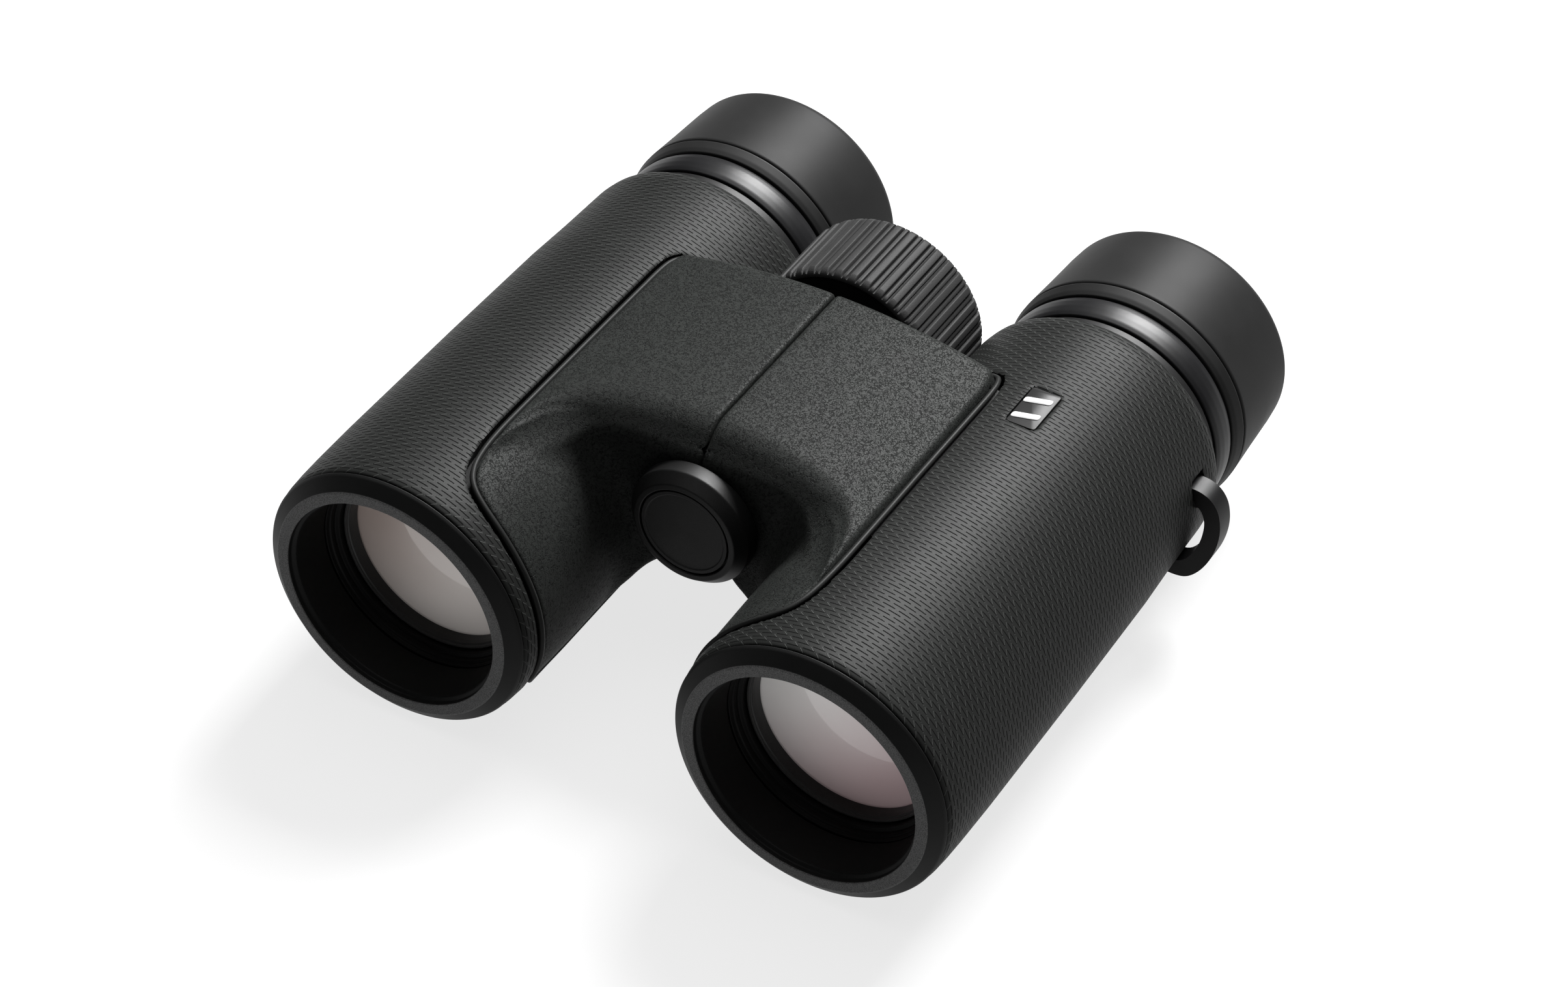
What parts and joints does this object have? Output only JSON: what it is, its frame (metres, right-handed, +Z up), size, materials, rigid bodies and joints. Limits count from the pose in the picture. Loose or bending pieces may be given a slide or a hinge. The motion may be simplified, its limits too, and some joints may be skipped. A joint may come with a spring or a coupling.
{
  "type": "binoculars",
  "caption": "Compact roof-prism binoculars with rubber-armoured barrels, folding centre hinge, ribbed focus wheel and twist-up eyecups.",
  "frame": {"origin": "centre of the bounding box's underside, with the barrels spread to their widest and lying level", "axes": "+Y from the objectives to the eyepieces along the optical axes, +Z up out of the bridge, +X towards the user's left barrel"},
  "size_m": [0.125, 0.1192, 0.0507],
  "materials": {
    "left_body_casting": "black anodised die casting",
    "left_armour": "matte dark grey rubber with a fine engraved net",
    "left_bridge_cover": "matte dark grey leather grain",
    "left_strap_lug": "satin black moulded plastic",
    "left_objective_rim": "satin black with a finely turned flat rim",
    "left_objective_cell": "matte black baffle steps",
    "left_objective_retainer": "fine turned black ring",
    "left_objective_lens": "coated glass",
    "left_prism_cage": "matte black",
    "left_front_prism": "polished glass",
    "left_roof_prism": "polished glass",
    "left_eyepiece_tube": "satin black",
    "left_badge_plate": "satin dark grey plate",
    "left_fixed_ring": "glossy black band",
    "left_ocular_cell": "matte black",
    "left_field_lens": "coated glass",
    "left_eye_lens": "coated glass",
    "hinge_shaft": "ground steel",
    "retaining_nut": "blackened steel",
    "front_friction_washer": "plain brass",
    "rear_friction_washer": "plain brass",
    "rear_hinge_bush": "plain brass",
    "right_body_casting": "black anodised die casting",
    "right_armour": "matte dark grey rubber with a fine engraved net",
    "right_bridge_cover": "matte dark grey leather grain",
    "right_strap_lug": "satin black moulded plastic",
    "right_objective_rim": "satin black with a finely turned flat rim",
    "right_objective_cell": "matte black baffle steps",
    "right_objective_retainer": "fine turned black ring",
    "right_objective_lens": "coated glass",
    "right_prism_cage": "matte black",
    "right_front_prism": "polished glass",
    "right_roof_prism": "polished glass",
    "right_eyepiece_tube": "satin black",
    "front_hinge_bush": "plain brass",
    "middle_hinge_bush": "plain brass",
    "focus_wheel_hub": "satin black",
    "focus_wheel_plate": "satin black",
    "focus_wheel_grip": "ribbed dark rubber",
    "focus_screw": "turned brass",
    "focus_carriage": "black anodised",
    "left_focusing_cell": "matte black",
    "left_focusing_lens": "coated glass",
    "right_focusing_cell": "matte black",
    "right_focusing_lens": "coated glass",
    "right_diopter_ring": "glossy black band",
    "right_ocular_cell": "matte black",
    "right_field_lens": "coated glass",
    "right_eye_lens": "coated glass",
    "left_eyecup_cam": "matte black",
    "left_eyecup_core": "black anodised",
    "left_eyecup_rubber": "matte black soft rubber",
    "right_eyecup_cam": "matte black",
    "right_eyecup_core": "black anodised",
    "right_eyecup_rubber": "matte black soft rubber",
    "tripod_cap": "fine sparkle black with a bright flat ring",
    "tripod_cap_plate": "satin black plate"
  },
  "bodies": {
    "left_half": {"left_body_casting": "left_body_casting", "left_armour": "left_armour", "left_bridge_cover": "left_bridge_cover", "left_strap_lug": "left_strap_lug", "left_objective_rim": "left_objective_rim", "left_objective_cell": "left_objective_cell", "left_objective_retainer": "left_objective_retainer", "left_objective_lens": "left_objective_lens", "left_prism_cage": "left_prism_cage", "left_front_prism": "left_front_prism", "left_roof_prism": "left_roof_prism", "left_eyepiece_tube": "left_eyepiece_tube", "left_badge_plate": "left_badge_plate", "left_fixed_ring": "left_fixed_ring", "left_ocular_cell": "left_ocular_cell", "left_field_lens": "left_field_lens", "left_eye_lens": "left_eye_lens", "hinge_shaft": "hinge_shaft", "retaining_nut": "retaining_nut", "front_friction_washer": "front_friction_washer", "rear_friction_washer": "rear_friction_washer", "rear_hinge_bush": "rear_hinge_bush"},
    "right_half": {"right_body_casting": "right_body_casting", "right_armour": "right_armour", "right_bridge_cover": "right_bridge_cover", "right_strap_lug": "right_strap_lug", "right_objective_rim": "right_objective_rim", "right_objective_cell": "right_objective_cell", "right_objective_retainer": "right_objective_retainer", "right_objective_lens": "right_objective_lens", "right_prism_cage": "right_prism_cage", "right_front_prism": "right_front_prism", "right_roof_prism": "right_roof_prism", "right_eyepiece_tube": "right_eyepiece_tube", "front_hinge_bush": "front_hinge_bush", "middle_hinge_bush": "middle_hinge_bush"},
    "focus_wheel": {"focus_wheel_hub": "focus_wheel_hub", "focus_wheel_plate": "focus_wheel_plate", "focus_wheel_grip": "focus_wheel_grip", "focus_screw": "focus_screw"},
    "focus_carriage": {"focus_carriage": "focus_carriage"},
    "left_focusing_unit": {"left_focusing_cell": "left_focusing_cell", "left_focusing_lens": "left_focusing_lens"},
    "right_focusing_unit": {"right_focusing_cell": "right_focusing_cell", "right_focusing_lens": "right_focusing_lens"},
    "diopter_ring": {"right_diopter_ring": "right_diopter_ring"},
    "right_ocular": {"right_ocular_cell": "right_ocular_cell", "right_field_lens": "right_field_lens", "right_eye_lens": "right_eye_lens"},
    "left_cup_twist": {"left_eyecup_cam": "left_eyecup_cam"},
    "left_cup": {"left_eyecup_core": "left_eyecup_core", "left_eyecup_rubber": "left_eyecup_rubber"},
    "right_cup_twist": {"right_eyecup_cam": "right_eyecup_cam"},
    "right_cup": {"right_eyecup_core": "right_eyecup_core", "right_eyecup_rubber": "right_eyecup_rubber"},
    "tripod_cap": {"tripod_cap": "tripod_cap", "tripod_cap_plate": "tripod_cap_plate"}
  },
  "joints": [
    {"name": "interpupillary_hinge", "type": "hinge", "parent": "left_half", "child": "right_half", "pos_m": [0, -0.00895, 0.03454], "axis": [0, -1, 0], "range_deg": [0, 47.8]},
    {"name": "focus_wheel_turn", "type": "hinge", "parent": "left_half", "child": "focus_wheel", "pos_m": [0, 0.0221, 0.03454], "axis": [0, 1, 0], "range_deg": [-270, 270]},
    {"name": "focus_carriage_slide", "type": "slide", "parent": "left_half", "child": "focus_carriage", "axis": [0, 1, 0], "range_m": [-0.002, 0.002]},
    {"name": "left_focusing_slide", "type": "slide", "parent": "left_half", "child": "left_focusing_unit", "axis": [0, 1, 0], "range_m": [-0.002, 0.002]},
    {"name": "right_focusing_slide", "type": "slide", "parent": "right_half", "child": "right_focusing_unit", "axis": [0, 1, 0], "range_m": [-0.002, 0.002]},
    {"name": "diopter_turn", "type": "hinge", "parent": "right_half", "child": "diopter_ring", "pos_m": [-0.03567, 0.0364, 0.02315], "axis": [0, 1, 0], "range_deg": [-40, 40]},
    {"name": "right_ocular_slide", "type": "slide", "parent": "right_half", "child": "right_ocular", "axis": [0, 1, 0], "range_m": [-0.001, 0.001]},
    {"name": "left_eyecup_twist", "type": "hinge", "parent": "left_half", "child": "left_cup_twist", "pos_m": [0.03567, 0.0404, 0.02315], "axis": [0, 1, 0], "range_deg": [0, 120]},
    {"name": "left_eyecup_rise", "type": "slide", "parent": "left_cup_twist", "child": "left_cup", "axis": [0, 1, 0], "range_m": [0, 0.008]},
    {"name": "right_eyecup_twist", "type": "hinge", "parent": "right_half", "child": "right_cup_twist", "pos_m": [-0.03567, 0.0404, 0.02315], "axis": [0, 1, 0], "range_deg": [0, 120]},
    {"name": "right_eyecup_rise", "type": "slide", "parent": "right_cup_twist", "child": "right_cup", "axis": [0, 1, 0], "range_m": [0, 0.008]},
    {"name": "tripod_cap_unscrew", "type": "slide", "parent": "left_half", "child": "tripod_cap", "axis": [0, -1, 0], "range_m": [0, 0.015]}
  ],
  "couplings": [
    {"joint": "focus_carriage_slide", "follows": "focus_wheel_turn", "m_per_rad": 0.000424},
    {"joint": "left_focusing_slide", "follows": "focus_wheel_turn", "m_per_rad": 0.000424},
    {"joint": "right_focusing_slide", "follows": "focus_wheel_turn", "m_per_rad": 0.000424},
    {"joint": "right_ocular_slide", "follows": "diopter_turn", "m_per_rad": 0.00143},
    {"joint": "left_eyecup_rise", "follows": "left_eyecup_twist", "m_per_rad": 0.0038},
    {"joint": "right_eyecup_rise", "follows": "right_eyecup_twist", "m_per_rad": 0.0038}
  ]
}
